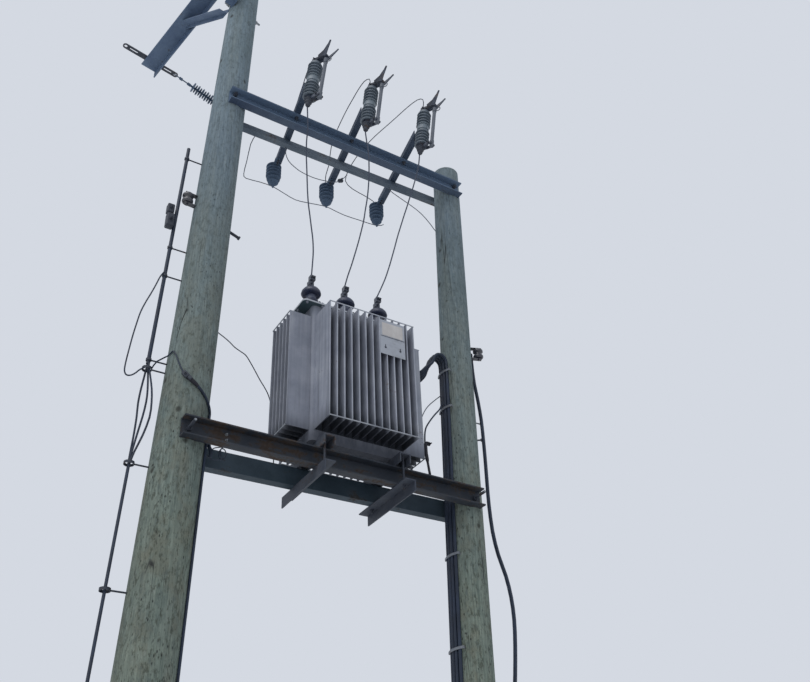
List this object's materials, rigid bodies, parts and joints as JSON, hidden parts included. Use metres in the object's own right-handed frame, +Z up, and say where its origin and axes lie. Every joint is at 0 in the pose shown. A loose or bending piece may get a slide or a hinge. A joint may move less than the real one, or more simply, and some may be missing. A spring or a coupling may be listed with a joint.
{
  "type": "pole mounted transformer",
  "caption": "Finned oil transformer on a steel platform between two timber poles, with fuse cutouts and surge arresters on the crossarms above it.",
  "frame": {"origin": "centre of the left pole's base face, at ground level", "axes": "+X from the left pole to the right pole, +Y away from the front with the fuses, +Z up"},
  "size_m": [2.918, 2.8889, 9.2992],
  "materials": {
    "timber": "matt treated timber, greenish grey",
    "painted_steel": "dull dark paint with rust",
    "galvanised": "dull zinc",
    "tank_paint": "weathered grey paint",
    "plate": "pale dull plate",
    "brown_porcelain": "dark brown glaze",
    "grey_porcelain": "grey glaze",
    "fuse_tube": "dull grey tube",
    "black_polymer": "matt black polymer",
    "cable": "matt black sheath"
  },
  "bodies": {
    "structure": {"left_pole": "timber", "right_pole": "timber", "platform_beam_near": "painted_steel", "platform_beam_far": "painted_steel", "upper_crossarm_near": "painted_steel", "upper_crossarm_far": "painted_steel", "pole_bolts": "galvanised", "tank_body": "tank_paint", "tank_lid": "tank_paint", "fin_bank_near": "tank_paint", "fin_bank_far": "tank_paint", "fin_bank_left": "tank_paint", "fin_bank_right": "tank_paint", "rating_plate": "plate", "skids": "painted_steel", "clamp_angles": "painted_steel", "clamp_rods": "galvanised", "hv_bushings": "brown_porcelain", "lv_bushings": "brown_porcelain", "fuse_arms": "painted_steel", "cutout_1": "grey_porcelain", "cutout_2": "grey_porcelain", "cutout_3": "grey_porcelain", "arrester_1": "black_polymer", "arrester_2": "black_polymer", "arrester_3": "black_polymer", "line_crossarm": "painted_steel", "line_braces": "painted_steel", "line_straps": "galvanised", "line_insulators": "black_polymer", "hv_lead_1": "cable", "hv_lead_2": "cable", "hv_lead_3": "cable", "arrester_jumpers": "cable", "earth_wires": "galvanised", "lv_tail_1": "cable", "lv_tail_2": "cable", "lv_tail_3": "cable", "lv_tail_4": "cable", "right_risers": "cable", "left_riser": "cable", "tap_loop": "cable", "tank_lead": "cable", "front_cable": "cable", "cable_clips": "galvanised", "service_insulators": "brown_porcelain"},
    "carrier_1": {"fuse_carrier_1": "fuse_tube"},
    "carrier_2": {"fuse_carrier_2": "fuse_tube"},
    "carrier_3": {"fuse_carrier_3": "fuse_tube"}
  },
  "joints": [
    {"name": "carrier_1_hinge", "type": "hinge", "parent": "structure", "child": "carrier_1", "pos_m": [0.70644, -0.56654, 6.98859], "axis": [0.891, 0.454, 0], "range_deg": [0, 150]},
    {"name": "carrier_2_hinge", "type": "hinge", "parent": "structure", "child": "carrier_2", "pos_m": [1.19644, -0.56654, 6.98859], "axis": [0.891, 0.454, 0], "range_deg": [0, 150]},
    {"name": "carrier_3_hinge", "type": "hinge", "parent": "structure", "child": "carrier_3", "pos_m": [1.68644, -0.56654, 6.98859], "axis": [0.891, 0.454, 0], "range_deg": [0, 150]}
  ]
}
